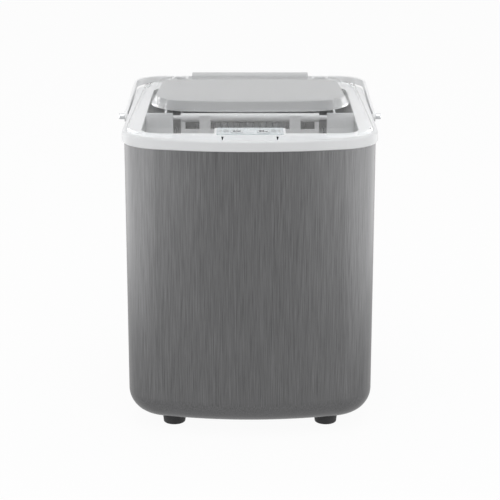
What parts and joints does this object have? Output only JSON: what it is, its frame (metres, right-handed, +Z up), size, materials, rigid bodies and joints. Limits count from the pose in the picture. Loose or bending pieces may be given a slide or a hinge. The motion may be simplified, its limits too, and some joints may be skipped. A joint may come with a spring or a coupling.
{
  "type": "countertop ice maker",
  "caption": "Countertop ice maker with a bowed grey housing, white rim, clear hinged lid with a raised rear, carry handle, ice basket and working ice mechanism.",
  "frame": {"origin": "on the floor under the middle of the whole object's box, the folded handle included", "axes": "+Z up, -Y towards the front, +X to the right seen from the front"},
  "size_m": [0.242, 0.299, 0.2851],
  "materials": {
    "brushed_grey": "satin brushed grey",
    "white_gloss": "white moulded gloss",
    "clear_plastic": "clear moulded plastic",
    "grey_plastic": "light grey moulded plastic",
    "panel_overlay": "pale printed overlay",
    "button_plastic": "pale satin plastic",
    "lens_plastic": "dark translucent plastic",
    "liner_plastic": "pale moulded plastic",
    "chamber_grey": "mid grey moulded plastic",
    "dark_plastic": "dark grey moulded plastic",
    "rubber_black": "black rubber",
    "steel": "zinc plated steel",
    "black_enamel": "black enamel",
    "copper": "bare copper tube",
    "fin_aluminium": "thin rolled fins",
    "evaporator_metal": "nickel plated",
    "hose_rubber": "translucent silicone",
    "foam": "expanded foam",
    "circuit_board": "coated laminate"
  },
  "bodies": {
    "housing": {"base_plate": "steel", "body_shell": "brushed_grey", "chamber_liner": "chamber_grey", "compressor": "black_enamel", "compressor_bolts": "steel", "compressor_grommets": "rubber_black", "condenser_coil": "copper", "condenser_fins": "fin_aluminium", "condenser_frame": "steel", "control_board": "circuit_board", "control_housing": "liner_plastic", "control_panel": "panel_overlay", "cord_gland": "rubber_black", "discharge_tube": "copper", "drain_tube": "hose_rubber", "evaporator": "evaporator_metal", "evaporator_cover": "grey_plastic", "evaporator_frame": "liner_plastic", "fan_motor": "steel", "fan_shroud": "dark_plastic", "filter_drier": "copper", "foot_front_left": "rubber_black", "foot_front_right": "rubber_black", "foot_rear_left": "rubber_black", "foot_rear_right": "rubber_black", "foot_screws": "steel", "frame_posts": "steel", "handle_pivots": "steel", "hinge_brackets": "white_gloss", "hinge_pins": "steel", "ice_basket": "chamber_grey", "ice_sensors": "lens_plastic", "indicator_lenses": "lens_plastic", "insulation": "foam", "liquid_line": "copper", "main_board": "circuit_board", "panel_screws": "steel", "partition_plate": "steel", "pump_housing": "dark_plastic", "pump_motor": "steel", "rear_panel": "dark_plastic", "suction_line": "copper", "top_frame": "white_gloss", "tray_motor": "steel", "water_hose": "hose_rubber"},
    "lid": {"lid": "clear_plastic"},
    "handle": {"handle_bail": "white_gloss", "handle_grip": "grey_plastic"},
    "power_button": {"power_button": "button_plastic"},
    "select_button": {"select_button": "button_plastic"},
    "tray": {"water_tray": "chamber_grey"},
    "shovel": {"ice_shovel": "white_gloss"},
    "fan": {"fan_rotor": "dark_plastic"},
    "impeller": {"pump_impeller": "dark_plastic"},
    "drain_cap": {"drain_cap": "dark_plastic"}
  },
  "joints": [
    {"name": "lid_hinge", "type": "hinge", "parent": "housing", "child": "lid", "pos_m": [0, 0.122, 0.2746], "axis": [-1, 0, 0], "range_deg": [0, 95]},
    {"name": "handle_pivot", "type": "hinge", "parent": "housing", "child": "handle", "pos_m": [0, -0.0165, 0.266], "axis": [1, 0, 0], "range_deg": [0, 90]},
    {"name": "power_press", "type": "slide", "parent": "housing", "child": "power_button", "axis": [0, 0, -1], "range_m": [0, 0.001], "stiffness_N_per_m": 800},
    {"name": "select_press", "type": "slide", "parent": "housing", "child": "select_button", "axis": [0, 0, -1], "range_m": [0, 0.001], "stiffness_N_per_m": 800},
    {"name": "tray_tilt", "type": "hinge", "parent": "housing", "child": "tray", "pos_m": [0, 0.0105, 0.243], "axis": [1, 0, 0], "range_deg": [0, 50]},
    {"name": "shovel_swing", "type": "hinge", "parent": "housing", "child": "shovel", "pos_m": [0, -0.0345, 0.2683], "axis": [-1, 0, 0], "range_deg": [0, 60]},
    {"name": "fan_spin", "type": "hinge", "parent": "housing", "child": "fan", "pos_m": [0.05, 0.0865, 0.073], "axis": [0, 1, 0], "continuous": true},
    {"name": "impeller_spin", "type": "hinge", "parent": "housing", "child": "impeller", "pos_m": [0.03, -0.0575, 0.1115], "axis": [0, 0, 1], "continuous": true},
    {"name": "drain_cap_turn", "type": "hinge", "parent": "housing", "child": "drain_cap", "pos_m": [0, -0.0795, 0.008], "axis": [0, 0, 1], "range_deg": [0, 90]}
  ],
  "couplings": [
    {"joint": "shovel_swing", "follows": "tray_tilt", "ratio": 1.2}
  ]
}
